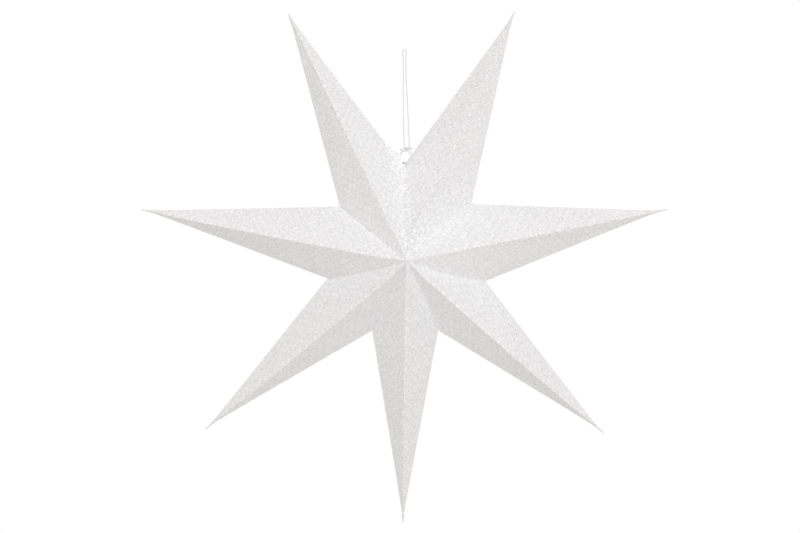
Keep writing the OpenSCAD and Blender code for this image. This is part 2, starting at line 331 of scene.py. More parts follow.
def smooth_route(points, step):
    """A smooth curve through the points, with one point for each step along it, and its length."""
    p = np.array(points, float)
    ends = np.vstack([2 * p[0] - p[1], p, 2 * p[-1] - p[-2]])
    t = np.linspace(0, 1, ROUTE_FINE, endpoint=False)[:, None]
    dense = []
    for i in range(len(p) - 1):
        a, b, c, d = ends[i:i + 4]
        m0, m1 = (c - a) * ROUTE_PULL, (d - b) * ROUTE_PULL
        h = (2 * t**3 - 3 * t**2 + 1) * b + (t**3 - 2 * t**2 + t) * m0
        dense.append(h + (-2 * t**3 + 3 * t**2) * c + (t**3 - t**2) * m1)
    dense = np.vstack(dense + [p[-1:]])
    run = run_along(dense)
    count = max(2, int(round(run[-1] / step)) + 1)
    want = np.linspace(0, run[-1], count)
    return np.stack([np.interp(want, run, dense[:, k]) for k in range(3)], 1), run[-1]


CORD_SIDES = 18
CORD_STEP = 0.32
PATH_STEP = 3
PLIES = 3
TWIST_LENGTH = 5.2
# Depth of the grooves between the plies, as a share of the cord's radius
PLY_DEPTH = 0.2
# Where the twist starts in the left and in the right leg
LEG_TURNS = (0.4, 1.3)
STOPPER_POINTS = 97
# The trefoil of a stopper knot reaches this many times its unit out, and its height is a share of it
TREFOIL_REACH = 3
TREFOIL_HEIGHT = 1.2


def cord_tube(skin, centre, turn0=0.0, capped=True):
    """A twisted cord along a dense centre line."""
    tangent = np.gradient(centre, axis=0)
    tangent /= np.linalg.norm(tangent, axis=1)[:, None]
    side = np.array((0.0, 1.0, 0.0))
    sides = []
    for t in tangent:
        side = side - t * side.dot(t)
        side /= np.linalg.norm(side)
        sides.append(side)
    sides = np.array(sides)
    other = np.cross(tangent, sides)
    run = run_along(centre)
    turn = np.linspace(0, 2 * math.pi, CORD_SIDES + 1)
    phase = turn[None, :] - 2 * math.pi * run[:, None] / TWIST_LENGTH - turn0
    radius = CORD_D / 2 * (1 - PLY_DEPTH + PLY_DEPTH * np.abs(np.cos(phase * PLIES / 2)))
    points = centre[:, None, :] + radius[:, :, None] * (
        sides[:, None, :] * np.cos(turn)[None, :, None] + other[:, None, :] * np.sin(turn)[None, :, None]
    )
    points[:, -1] = points[:, 0]
    uv = np.stack(np.broadcast_arrays(run[:, None] * MM, turn[None, :] * CORD_D / 2 * MM), -1)
    skin.grid(points, uv)
    if capped:
        for k in (0, -1):
            middle = np.repeat(centre[k][None, :], CORD_SIDES + 1, 0)
            skin.band(middle, points[k], uv[k], flip=(k == -1))


def stopper(skin, at):
    """A small overhand knot at the end of the cord."""
    t = np.linspace(0, 2 * math.pi, STOPPER_POINTS)
    size = (STOPPER_D - CORD_D) / 2 / TREFOIL_REACH
    trefoil = [np.sin(t) + 2 * np.sin(2 * t), -TREFOIL_HEIGHT * np.sin(3 * t), np.cos(t) - 2 * np.cos(2 * t)]
    cord_tube(skin, np.stack(trefoil, 1) * size + np.array(at), capped=False)


def make_cord():
    """The free loop, and the knot with its two legs and their stopper knots."""
    centre, length = smooth_route(LOOP_ROUTE, CORD_STEP)
    skin = Skin()
    cord_tube(skin, centre)
    loop = skin.make("cord_loop")
    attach(loop, "root")
    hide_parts("hanging_loop")
    knot_skin = Skin()
    for route, turn0 in zip((LEFT_CORD, RIGHT_CORD), LEG_TURNS):
        cord_tube(knot_skin, smooth_route(route, CORD_STEP)[0], turn0)
        stopper(knot_skin, route[-1])
    knot = knot_skin.make("cord_knot")
    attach(knot, "root")
    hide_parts("closing_knot")
    [tuple(p * MM) for p in smooth_route(LOOP_ROUTE, PATH_STEP)[0]]
    return loop, knot


cord_loop, cord_knot = make_cord()

# Card pouches

# How far each ridge runs to the clockwise side, as (share of the way out, millimetres)
RIDGE_BOWS = [
    [
        (0, 0), (0.03, -4.4), (0.08, -7), (0.2, -6.9), (0.25, -5.2), (0.3, -3.7), (0.5, -2.8), (0.7, -1.7),
        (1, 0),
    ],
    [(0, 0), (0.1, 0.1), (0.8, 0.4), (1, 0)],
    [(0, 0), (0.08, 2), (0.5, 2.4), (0.8, 1.8), (1, 0)],
    [(0, 0), (0.08, 0.9), (0.7, 1), (1, 0)],
    [(0, 0), (0.08, -2.2), (0.5, -2.6), (0.8, -2), (1, 0)],
    [(0, 0), (0.08, -1.8), (0.5, -2.2), (0.8, -1.6), (1, 0)],
    [(0, 0), (0.1, 0.1), (0.8, 0.4), (1, 0)],
]
# How far each ridge bulges to the front, most of it about halfway out
RIDGE_BULGE = 2.2
BULGE_BIAS = 1.3
# The ridge of the top right point sinks by this share of its bow where it runs beside the flap
RIDGE_DIP = 0.55
# How widely each valley is rounded, from the one clockwise of the top right point, and the most of the way
# out from the star's middle that this takes
VALLEY_ROUND = [2.8, 2.0, 2.4, 0.3, 0.3, 0.3]
VALLEY_ROUND_SHARE = 0.25
# How far the middle of each valley is off its straight line, to the clockwise side
VALLEY_BOW = [1.0, 3.0, -0.6, 0.0, -2.4, -0.5]
# The share of the facet over which a bowed valley carries it along
BOW_REACH = 0.3
# The rounding of a valley fades towards its outer end
ROUND_FADE, ROUND_LEAST = 12, 0.15
# Radius of the bend over a ridge and of that at a side fold, and the most of a narrow facet that they take
RIDGE_ROUND, RIDGE_ROUND_SHARE = 0.16, 0.25
SIDE_ROUND, SIDE_ROUND_SHARE = 0.22, 0.1
# The unevenness of the card: its size, and the length and the strength of its waves
SAG_OF_CARD = 0.45
SAG_MEAN = 0.5
WAVES = ((210, 0.7), (95, 0.5), (48, 0.22))
WAVE_TURNS = (0.4, 1.1)
# Facets narrower than this are stiffer
STIFF_WIDTH = 20
# Stands in for a width of nothing
NARROWEST = 0.01

# Rows and columns of a facet's grid: closer at the folds, at the mouth and at the tip
T = np.linspace(0, 1, 27)
ACROSS_SHARES = T - 0.85 * np.sin(2 * math.pi * T) / (2 * math.pi)
MOUTH_STEPS = [0, 0.35, 0.7, 1.1, 1.6, 2.2, 3.0, 4.2]
TIP_STEPS = [0, 0.35, 0.9, 1.8, 3, 4.4, 5.6, 6.6, 8, 10, 12.5, 15.5, 19]
BODY_STEPS = 78
# Near the mouth, a row's share of the facet falls by 1 in this many millimetres
MOUTH_SPAN = 127.0
# Share of the way in from the tip at which the lining starts, and how far its own tip stays back
LINING_END = 0.13
LINING_BACK = 7
FACET_SEED = 31

# Glue strips: their width and start, and how far they stay inside the valley, the card and its faces
STRIP_W, STRIP_START = 8, 6
STRIP_CLEAR, STRIP_BEHIND, STRIP_OFF, STRIP_SHALLOWER = 0.5, 0.4, 0.02, 0.6


def along_shares(length):
    """Shares of the way in from the tip at which a facet has its rows of points, from the mouth out."""
    mouth = [1 - d / MOUTH_SPAN for d in MOUTH_STEPS]
    end = [d / length for d in TIP_STEPS]
    body = np.linspace(mouth[-1], end[-1], BODY_STEPS + 2)[1:-1]
    return np.array(mouth + list(body) + end[::-1])


def pinched(slope, d, width, run):
    """Half size of a point at the distance d from its end, with the pinched tip as its last part."""
    d = np.asarray(d, float)
    far = np.sqrt((slope * np.maximum(d - run, 0)) ** 2 + (width / 2) ** 2)
    near = TIP_END / 2 + (width - TIP_END) / 2 * d / run
    return np.where(d > run, far, near)


def facet(i, depth, end, shares, v, seed):
    """Plan points and heights of the front facet of point i between its ridge and the valley's end."""
    t = tip(i)
    run = TIP_EXTRA + TIP_MORE[i]
    axis, clockwise = unit(t), across(unit(t))
    reach = np.linalg.norm(t)
    along, off = end.dot(axis), end.dot(clockwise)
    f = shares[:, None]
    d_ridge = f * (reach + run)
    ridge_h = np.where(f >= 1, depth, pinched(depth / reach, d_ridge, TIP_D, run))
    ridge_at = np.where(f >= 1, 0, reach + run - d_ridge)
    out = np.clip(ridge_at / reach, 0, 1)
    bow = np.interp(out, *zip(*RIDGE_BOWS[i]))
    ridge_h = ridge_h + RIDGE_BULGE * np.sin(math.pi * out**BULGE_BIAS)
    if i == 0:
        ridge_h = ridge_h + RIDGE_DIP * bow
    d_side = f * (reach + run - along)
    half = np.where(f >= 1, abs(off), pinched(abs(off) / (reach - along), d_side, TIP_W, run))
    side_at = np.where(f >= 1, along, reach + run - d_side)
    v = v[None, :]
    ridge = ridge_at[..., None] * axis + bow[..., None] * clockwise
    edge = side_at[..., None] * axis + (np.sign(off) * half)[..., None] * clockwise
    p = (1 - v)[..., None] * ridge + v[..., None] * edge
    height = (1 - v) * ridge_h
    # The card is rounded over the ridge and at the side fold
    width = np.maximum(half, NARROWEST)
    slope = ridge_h / width
    w = np.minimum(RIDGE_ROUND, RIDGE_ROUND_SHARE * width)
    s = v * width
    height = height - np.where(s < w, slope * (w - s) ** 2 / (2 * w), 0)
    w = np.minimum(SIDE_ROUND, SIDE_ROUND_SHARE * width)
    s = (1 - v) * width
    pull = np.sqrt(s**2 + w**2) - s
    p = p - (pull * np.sign(off))[..., None] * clockwise
    # Card is never quite flat between its folds
    rng = np.random.default_rng(seed)
    wave = 0
    for length, size in WAVES:
        turn = rng.uniform(0, 2 * math.pi, 3)
        wave = wave + size * np.sin(2 * math.pi * f * reach / length + turn[0]) * np.cos(
            2 * math.pi * v * rng.uniform(*WAVE_TURNS) + turn[1]
        )
    still = np.sin(math.pi * v) * np.sin(math.pi * np.clip(f, 0, 1)) ** 0.6
    height = height + SAG_OF_CARD * (wave + SAG_MEAN) * still * np.clip(width / STIFF_WIDTH, 0, 1)
    return p, height


def round_valley(p, height, shares, v, end, which):
    """Rounds and bows the mouth of a facet along valley number which."""
    r = np.linalg.norm(end)
    f, v = shares[:, None], v[None, :]
    away = (1 - f) * MOUTH_SPAN
    w = np.minimum(VALLEY_ROUND[which], VALLEY_ROUND_SHARE * (v * r) + NARROWEST)
    fade = np.minimum(1, (1 - v) * ROUND_FADE + ROUND_LEAST)
    height = height + np.where(away < w, (w - away) ** 2 / (2 * w), 0) * fade
    shift = VALLEY_BOW[which] * np.sin(math.pi * v) * np.clip(1 - (1 - f) / BOW_REACH, 0, 1)
    p = p + shift[..., None] * across(unit(end))
    return p, height


def card_uv(points, apex, tip_at, side):
    """Coordinates in the flat card, in metres, of points on a facet of a pouch."""
    e1 = unit(tip_at - apex)
    rel = points - apex
    u = rel @ e1
    w = np.linalg.norm(rel - u[..., None] * e1, axis=-1)
    return np.stack([u, side * w], -1) * MM


def mirrored(points):
    """The same points at the star's other face."""
    return points * np.array((1, -1, 1))


MIDDLE_POINT = place(np.zeros(2), 0)


def strip(skin, end, side, depth):
    """The glue strips inside a valley, in front and behind."""
    out = unit(end)
    inward = across(out) * side * CARD_T
    r = np.linalg.norm(end)
    narrow = 1 - STRIP_W / (r * depth / math.hypot(r, depth))
    outline = [
        (STRIP_START, depth * (1 - STRIP_START / r)),
        (r - STRIP_CLEAR, STRIP_CLEAR),
        (r * narrow, STRIP_CLEAR),
        (STRIP_START, depth * (narrow - STRIP_START / r)),
    ]
    for face in (1, -1):
        near = [place(out * a + inward * STRIP_OFF, face * (h - STRIP_BEHIND)) for a, h in outline]
        far = [place(out * a + inward, face * (h - STRIP_BEHIND)) for a, h in outline]
        flat = [(a * MM, h * MM) for a, h in outline]
        skin.polygon(near, flat)
        skin.polygon(far[::-1], flat[::-1])
        for a in range(4):
            b = (a + 1) % 4
            skin.polygon([near[b], near[a], far[a], far[b]], [flat[b], flat[a], flat[a], flat[b]])


def make_pouch(i):
    """The skin of point i: outside and lining, front and back, with its glue strips."""
    left = CLOSING_RIGHT if i == 0 else valley(i - 1)
    right = CLOSING_LEFT if i == LAST else valley(i)
    depth = LAPPED_DEPTH if i == 0 else HALF_DEPTH
    t = tip(i)
    outer_shares = along_shares(np.linalg.norm(t) + TIP_EXTRA + TIP_MORE[i])
    apex3, tip3 = place(np.zeros(2), depth), place(t, 0)
    skin = Skin()
    for side, end, which in ((-1, left, i - 1), (1, right, i)):
        clockwise = side > 0
        sealed = i < LAST if clockwise else i > 0
        top = HALF_DEPTH if (i == 0 and clockwise) else depth
        for lining, shares in ((False, outer_shares), (True, outer_shares[outer_shares >= LINING_END])):
            p, height = facet(i, top, end, shares, ACROSS_SHARES, FACET_SEED * i + clockwise)
            if sealed:
                p, height = round_valley(p, height, shares, ACROSS_SHARES, end, which)
            front = place(p, height)
            uv = card_uv(front, apex3, tip3, side)
            if lining:
                front = MIDDLE_POINT + INNER_K * (front - MIDDLE_POINT)
                lining_tip = place(t * INNER_K - unit(t) * LINING_BACK, 0)
                front = np.concatenate([front, np.repeat(lining_tip[None, None], front.shape[1], 1)])
                uv = np.concatenate([uv, uv[-1:]])
                upper, lower, edge_uv, edge_flip = mouth_front, front[0], mouth_uv, not clockwise
            else:
                mouth_front, mouth_uv = front[0], uv[0]
                end_row = np.repeat(tip_end(i)[None], front.shape[1], 0)
                upper, lower, edge_uv, edge_flip = front[-1], end_row, uv[-1], clockwise
            for back in (False, True):
                points = mirrored(front) if back else front
                skin.grid(points, uv, flip=clockwise ^ back ^ lining)
            # The card's edge at the mouth, or the very end of the tip
            for back in (False, True):
                rows = (mirrored(upper), mirrored(lower)) if back else (upper, lower)
                skin.band(*rows, edge_uv, flip=edge_flip ^ back)
        if not (clockwise and i == LAST):
            strip(skin, end, -side, depth - STRIP_SHALLOWER)
    return skin


pouches = [make_pouch(i).make("pouch_" + NAMES[i]) for i in range(LAST + 1)]

# The closing flap

CARD_H = 0.4
REST_GAP = 0.1
# The free edge of the flap, from the top of the ear down to where the ridges meet
FLAP_EDGE = [
    (-4.9, 111.2), (-3.1, 108.9), (-1.1, 106.8), (0.3, 105.2), (0.7, 103.4), (0.4, 101.2), (0.7, 98.6),
    (1.95, 95.6), (4.1, 91.6), (5.6, 87.4), (6.2, 82.4), (6.2, 75), (5.75, 63), (5.35, 48), (4.95, 33.5),
    (4.0, 21.1), (2.45, 8.8), (0.9, 2.0), (0, 0),
]
# The point of that edge which ends the ear's own edge
EAR_LOW = np.array(FLAP_EDGE[4])
FLAP_ROWS, LEFT_COLUMNS, STRIP_COLUMNS = 122, 26, 19
EDGE_STEP = 0.2
# Steps in which a row looks for the score line, and the shares of the row that it may lie between
ROW_FINE = 801
TURN_FROM, TURN_TO = 0.3, 0.8
# Half the width of the crease at the score line, as a share of a row
CREASE = 0.004
# The score line that the flap is bent on, left of the seam, and how soon it gets there from the middle
SCORE_X, SCORE_RUN = -2.85, 9.0
# Heights of the flap at the end of its bend and at the start and the top of the ear
BEND_UP, EAR_START, EAR_UP = 3.4, 0.15, 1.8
# Shares of the ear's slanting cut between which it rises
EAR_RISES = (0.4, 0.95)
SOFT_BEND = 3.0
EAR_TILT = 0.6
# How much the strip between the score line and the free edge is bowed up
STRIP_BOW = 0.2
NARROWEST_STRIP = 0.4
# The flap keeps this share of its thickness below one plan height, and all of it above another
THIN_SHARE, THIN_FROM, THIN_TO = 0.35, 5, 45
# Above this plan height the free edge is the ear's
EAR_FROM = 97
# The flap's bends are soft above these plan heights, and crisp below them
SOFT_FROM, SOFT_TO = 88, 98
EDGE_PASSES, SOFT_PASSES = 6, 12
# A height that stands for no card below, and the distance in metres from which card is looked for
NO_CARD = -50.0
LOOK_FROM = 0.3


def under_height(tree, p):
    """Height of the front of the top right pouch under plan points, or a low value beside it."""
    heights = np.full(p[..., 0].size, NO_CARD)
    for k, q in enumerate(p.reshape(-1, 2)):
        at = place(q, 0)
        hit = tree.ray_cast(Vector((at[0] * MM, -LOOK_FROM, at[2] * MM)), Vector((0, 1, 0)))
        if hit[0] is not None and hit[0].y < 0:
            heights[k] = -hit[0].y / MM
    return heights.reshape(p.shape[:-1])


def flap_edge():
    """The free edge of the flap as evenly spaced plan points."""
    fine = smooth_route([(x, 0, z) for x, z in FLAP_EDGE], EDGE_STEP)[0][:, ::2]
    run = run_along(fine)
    want = np.linspace(0, run[-1], FLAP_ROWS)
    return np.stack([np.interp(want, run, fine[:, 0]), np.interp(want, run, fine[:, 1])], -1)


def ease(x, low, high):
    """A smooth step from 0 at low to 1 at high."""
    t = np.clip((x - low) / (high - low), 0, 1)
    return t * t * (3 - 2 * t)


def flap_thickness(p):
    """The flap gets thinner where all the folds come together."""
    return CARD_H * (THIN_SHARE + (1 - THIN_SHARE) * ease(p[..., 1], THIN_FROM, THIN_TO))


def ear_height(p):
    """Height of the ear: nothing at the start of the slit, more towards its top and in from its free edge."""
    cut = EAR_TOP - CLOSING_LEFT
    share = (p - CLOSING_LEFT) @ cut / (cut @ cut)
    inwards = (p - EAR_TOP) @ across(unit(EAR_LOW - EAR_TOP))
    return EAR_START + (EAR_UP - EAR_START + EAR_TILT * inwards) * ease(share, *EAR_RISES)


def flap_left(p):
    """Height of the flap left of its score line: a soft bend takes it off the point's own flat."""
    own = flat_height(p, tip(LAST), CLOSING_LEFT, (HALF_DEPTH, 0, 0))
    flat = flat_height(p, CLOSING_LEFT, BEND_END, (HALF_DEPTH, 0, BEND_UP))
    away = np.clip(p @ across(unit(CLOSING_LEFT)), NARROWEST, None)
    soft = (np.sqrt(away**2 + SOFT_BEND**2) - SOFT_BEND) / away
    return np.maximum(own + (flat - own) * soft, ear_height(p))


def score_x(z):
    """Sideways place of the score line at a plan height."""
    return SCORE_X * (1 - np.exp(-np.clip(z, 0, None) / SCORE_RUN))


def flap_points(edge):
    """Rows of plan points from the point's own card to the free edge, with one column on the score line."""
    rows = []
    fine = np.linspace(0, 1, ROW_FINE)[:, None]
    for down, end in zip(np.linspace(1, 0, FLAP_ROWS), edge):
        line = CLOSING_LEFT * down * (1 - fine) + end * fine
        past = np.nonzero(line[:, 0] > score_x(line[:, 1]))[0]
        turn = np.clip(fine[past[0], 0] if len(past) else 1, TURN_FROM, TURN_TO)
        left = np.linspace(0, turn - CREASE, LEFT_COLUMNS)
        right = np.linspace(turn + CREASE, 1, STRIP_COLUMNS)
        over = np.concatenate([left, [turn], right])
        rows.append(CLOSING_LEFT * down * (1 - over[:, None]) + end * over[:, None])
    return np.array(rows)


def softened(height):
    """The flap's heights with every bend smoothed but for the first column, where it joins its point."""
    first = height[:, 0].copy()
    for _ in range(SOFT_PASSES):
        soft = height.copy()
        soft[1:-1, 1:-1] = (height[:-2, 1:-1] + height[2:, 1:-1] + height[1:-1, :-2] + height[1:-1, 2:]) / 4
        soft[0, 1:-1] = (height[1, 1:-1] * 2 + height[0, :-2] + height[0, 2:]) / 4
        soft[1:-1, -1] = (height[1:-1, -2] * 2 + height[:-2, -1] + height[2:, -1]) / 4
        height = soft
        height[:, 0] = first
    return height


def flap_heights(tree, p, edge):
    """Heights of the front of the flap, which ends on the card of the top right point."""
    under = under_height(tree, p) + flap_thickness(p) + REST_GAP
    edge_h = np.where(under[:, -1] > 0, under[:, -1], lapping(edge))
    edge_h = np.maximum(edge_h, np.where(edge[:, 1] > EAR_FROM, ear_height(edge), 0))
    for _ in range(EDGE_PASSES):
        edge_h[1:-1] = np.maximum(edge_h[1:-1], (edge_h[:-2] + edge_h[2:]) / 2)
    x, z = p[..., 0], p[..., 1]
    turn_x = score_x(z)
    end_x = np.interp(z, edge[::-1, 1], edge[::-1, 0])
    end_h = np.interp(z, edge[::-1, 1], edge_h[::-1])
    share = np.clip((x - turn_x) / np.clip(end_x - turn_x, NARROWEST_STRIP, None), 0, 1)
    at_turn = flap_left(np.stack([turn_x, z], -1))
    bowed = share + STRIP_BOW * share * (1 - share)
    crisp = np.where(x < turn_x, flap_left(p), at_turn * (1 - bowed) + end_h * bowed)
    height = crisp + (softened(crisp) - crisp) * ease(z, SOFT_FROM, SOFT_TO)
    height = np.maximum(height, under)
    height[:, 0] = np.linspace(0, HALF_DEPTH, FLAP_ROWS)
    height[-1] = HALF_DEPTH
    return np.minimum(height, HALF_DEPTH)


def make_flap(tree):
    """The flap of the front and that of the back, as two closed sheets."""
    edge = flap_edge()
    p = flap_points(edge)
    height = flap_heights(tree, p, edge)
    top = place(p, height)
    low = place(p, height - flap_thickness(p))
    uv = card_uv(top, place(np.zeros(2), HALF_DEPTH), place(tip(LAST), 0), 1)
    objects = []
    for back in (False, True):
        skin = Skin()
        a, b = (mirrored(top), mirrored(low)) if back else (top, low)
        skin.grid(a, uv, flip=not back)
        skin.grid(b, uv, flip=back)
        skin.band(a[:, -1], b[:, -1], uv[:, -1], flip=back)
        skin.band(a[:, 0], b[:, 0], uv[:, 0], flip=not back)
        skin.band(a[0], b[0], uv[0], flip=back)
        objects.append(skin.make("flap_back" if back else "flap_front"))
    return objects


def tree_of(obj):
    """The object's faces, to look for places on them."""
    points = [v.co.copy() for v in obj.data.vertices]
    return BVHTree.FromPolygons(points, [tuple(p.vertices) for p in obj.data.polygons])


def mend(obj):
    """Makes all faces of a closed mesh look outwards."""
    bm = bmesh.new()
    bm.from_mesh(obj.data)
    bmesh.ops.recalc_face_normals(bm, faces=bm.faces)
    bm.to_mesh(obj.data)
    bm.free()


PUNCH_SIDES = 40
EAR_PUNCH_LENGTH, FOLD_PUNCH_LENGTH = 8, 6


def punch(obj, centre, axis, diameter, length):
    """Cuts a round hole."""
    mesh = bpy.data.meshes.new("punch")
    bm = bmesh.new()
    radius = diameter / 2 * MM
    bmesh.ops.create_cone(
        bm, cap_ends=True, segments=PUNCH_SIDES, radius1=radius, radius2=radius, depth=length * MM
    )
    bm.to_mesh(mesh)
    bm.free()
    cutter = add_object("punch", mesh)
    cutter.location = Vector(centre) * MM
    cutter.rotation_euler = Vector(axis).to_track_quat("Z", "Y").to_euler()
    cut = obj.modifiers.new("punch", "BOOLEAN")
    cut.operation = "DIFFERENCE"
    cut.solver = "EXACT"
    cut.object = cutter
    bpy.context.view_layer.update()
    done = bpy.data.meshes.new_from_object(obj.evaluated_get(bpy.context.evaluated_depsgraph_get()))
    obj.modifiers.clear()
    old = obj.data
    obj.data = done
    bpy.data.meshes.remove(old)
    bpy.data.objects.remove(cutter)
    bpy.data.meshes.remove(mesh)


def join(objects, name):
    """One object of several, which are removed."""
    bm = bmesh.new()
    for o in objects:
        bm.from_mesh(o.data)
    mesh = bpy.data.meshes.new(name)
    bm.to_mesh(mesh)
    bm.free()
    for o in objects:
        bpy.data.objects.remove(o)
    mesh.polygons.foreach_set("use_smooth", [True] * len(mesh.polygons))
    return add_object(name, mesh)


for pouch in pouches:
    mend(pouch)
flaps = make_flap(tree_of(pouches[0]))
for flap in flaps:
    mend(flap)
hole_at = place(EAR_HOLE, 0)
for flap, sign in zip(flaps, (-1, 1)):
    punch(flap, (hole_at[0], sign * EAR_HOLE_H, hole_at[2]), (0, 1, 0), EAR_HOLE_D, EAR_PUNCH_LENGTH)
fold_axis = (FOLD_HOLE_IN[0], 0, FOLD_HOLE_IN[1])
punch(pouches[0], place(FOLD_HOLE, 0), fold_axis, FOLD_HOLE_D, FOLD_PUNCH_LENGTH)
pouches[LAST] = join([pouches[LAST]] + flaps, "pouch_top_left")

for i, pouch in enumerate(pouches):
    pouch.name = "pouch_" + NAMES[i]
    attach(pouch, "root")
    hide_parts("point_" + NAMES[i])

# Materials


class Nodes:
    """A short way to write shader nodes."""

    def __init__(self, tree):
        self.tree = tree
        tree.nodes.clear()

    def new(self, kind):
        return self.tree.nodes.new("ShaderNode" + kind)

    def link(self, a, b):
        self.tree.links.new(a, b)

    def put(self, socket, value):
        """Links another socket, or sets a constant value."""
        if isinstance(value, bpy.types.NodeSocket):
            self.tree.links.new(value, socket)
        else:
            socket.default_value = value

    def math(self, operation, a, b=None):
        node = self.new("Math")
        node.operation = operation
        self.put(node.inputs[0], a)
        if b is not None:
            self.put(node.inputs[1], b)
        return node.outputs[0]

    def add(self, a, b):
        return self.math("ADD", a, b)

    def times(self, a, b):
        return self.math("MULTIPLY", a, b)

    def swing(self, value, size):
        """A value from 0 to 1 as one that swings around 0 by half the size."""
        return self.times(self.math("SUBTRACT", value, 0.5), size)

    def noise(self, vector, scale, detail, roughness):
        node = self.new("TexNoise")
        self.put(node.inputs["Vector"], vector)
        node.inputs["Scale"].default_value = scale
        node.inputs["Detail"].default_value = detail
        node.inputs["Roughness"].default_value = roughness
        return node.outputs["Fac"]

    def card_coordinates(self):
        """The card coordinates, and their two parts."""
        uv = self.new("UVMap")
        uv.uv_map = "card"
        split = self.new("SeparateXYZ")
        self.link(uv.outputs["UV"], split.inputs[0])
        return uv.outputs["UV"], split.outputs[0], split.outputs[1]

    def bump(self, height, strength, distance):
        node = self.new("Bump")
        node.inputs["Strength"].default_value = strength
        node.inputs["Distance"].default_value = distance
        self.link(height, node.inputs["Height"])
        return node.outputs[0]

    def mix_shader(self, factor, a, b):
        node = self.new("MixShader")
        self.link(factor, node.inputs[0])
        self.link(a, node.inputs[1])
        self.link(b, node.inputs[2])
        return node.outputs[0]

    def finish(self, kind, shader):
        self.link(shader, self.new(kind).inputs[0])


def new_material(name):
    """An empty material, and the nodes to fill it with."""
    material = bpy.data.materials.new(name)
    material.use_nodes = True
    return material, Nodes(material.node_tree)


# The card's grain runs from a dark to a white tone about its middle colour; its whitest flakes are painted
# glints of the glitter
CARD_COLOUR = (0.835, 0.835, 0.835, 1)
CARD_DARK = (0.66, 0.66, 0.66, 1)
CARD_LIGHT_AND_PAINTED_GLINT = (1.0, 1.0, 1.0, 1)
# The two sets of lines of the glitter's lattice, as turns for each metre along and across the ridge
LATTICE = ((79.0, 77.0), (102.0, -85.0))
# Sizes in metres of the two kinds of flakes, and of the raggedness of the larger ones' borders
FLAKE = 0.00085
FINE_FLAKE = 0.0006
RAGGED = 0.0004
RAGGED_SCALE = 1500
# Patches and clouds of slightly other tone, as (scale, detail, roughness)
PATCHES = (190, 3, 0.65)
CLOUDS = (22, 2, 0.5)
# How much each of them sways the card's tone; flakes swayed to the white end are painted glints
FLAKE_TONE, FINE_FLAKE_TONE = 0.6, 0.95
LATTICE_TONE, CROSSING_TONE = 0.1, 0.06
PATCH_TONE, CLOUD_TONE = 0.1, 0.1
# Flakes with a random value above this gleam, a few more of them on the lattice
GLEAM_FROM, GLEAM_LATTICE = 0.93, 0.04
CARD_ROUGHNESS, GLEAM_SMOOTHER = 0.62, 0.36
CARD_SPECULAR = 0.3
# Relief: the shares of the two kinds of flakes and of the lattice, and its strength and height in metres
FLAKE_RELIEF, FINE_FLAKE_RELIEF, LATTICE_RELIEF = 0.8, 0.5, 0.25
CARD_BUMP = (0.5, 0.00012)


def flakes(n, vector, size):
    """Two random values for each small flake."""
    cells = n.new("TexVoronoi")
    cells.inputs["Scale"].default_value = 1 / size
    n.link(vector, cells.inputs["Vector"])
    pick = n.new("SeparateColor")
    n.link(cells.outputs["Color"], pick.inputs[0])
    return pick.outputs[0], pick.outputs[1]


def ragged(n, vector):
    """Coordinates pushed about a little, so that the flakes have no straight borders."""
    rough = n.new("TexNoise")
    rough.inputs["Scale"].default_value = RAGGED_SCALE
    n.link(vector, rough.inputs["Vector"])
    push = n.new("VectorMath")
    push.operation = "MULTIPLY_ADD"
    n.link(rough.outputs["Color"], push.inputs[0])
    push.inputs[1].default_value = (RAGGED, RAGGED, 0)
    n.link(vector, push.inputs[2])
    return push.outputs[0]


def card_material():
    """Matt white card with a fine pressed lattice and a faint glitter, whose whitest flakes are painted
    glints.
    """
    material, n = new_material("card")
    uv, x, y = n.card_coordinates()
    waves = []
    for along, over in LATTICE:
        turns = n.add(n.times(x, along), n.times(y, over))
        waves.append(n.math("COSINE", n.times(turns, 2 * math.pi)))
    lattice = n.times(n.add(*waves), 0.5)
    crossing = n.times(*waves)
    big, _ = flakes(n, ragged(n, uv), FLAKE)
    small, gleaming = flakes(n, uv, FINE_FLAKE)
    tone = n.add(0.5, n.swing(big, FLAKE_TONE))
    tone = n.add(tone, n.swing(small, FINE_FLAKE_TONE))
    tone = n.add(tone, n.times(lattice, LATTICE_TONE))
    tone = n.add(tone, n.times(crossing, CROSSING_TONE))
    tone = n.add(tone, n.swing(n.noise(uv, *PATCHES), PATCH_TONE))
    tone = n.add(tone, n.swing(n.noise(uv, *CLOUDS), CLOUD_TONE))
    # Dark to white grain: the dark side is the card's own random tone, the white end is partly painted glint
    ramp = n.new("ValToRGB")
    ends = ramp.color_ramp.elements
    ends[0].position, ends[0].color = 0.0, CARD_DARK
    ends[1].position, ends[1].color = 1.0, CARD_LIGHT_AND_PAINTED_GLINT
    ramp.color_ramp.elements.new(0.5).color = CARD_COLOUR
    n.link(tone, ramp.inputs[0])
    # Every so often a fine flake lies so that it gleams
    least = n.math("SUBTRACT", GLEAM_FROM, n.times(lattice, GLEAM_LATTICE))
    gleam = n.math("GREATER_THAN", gleaming, least)
    height = n.add(n.times(big, FLAKE_RELIEF), n.times(small, FINE_FLAKE_RELIEF))
    height = n.add(height, n.times(lattice, LATTICE_RELIEF))
    shader = n.new("BsdfPrincipled")
    n.link(ramp.outputs[0], shader.inputs["Base Color"])
    n.put(shader.inputs["Roughness"], n.math("SUBTRACT", CARD_ROUGHNESS, n.times(gleam, GLEAM_SMOOTHER)))
    shader.inputs["Specular IOR Level"].default_value = CARD_SPECULAR
    n.link(n.bump(height, *CARD_BUMP), shader.inputs["Normal"])
    n.finish("OutputMaterial", shader.outputs[0])
    return material


CORD_COLOUR = (0.84, 0.84, 0.89, 1)
CORD_SHADE = (0.62, 0.62, 0.69, 1)
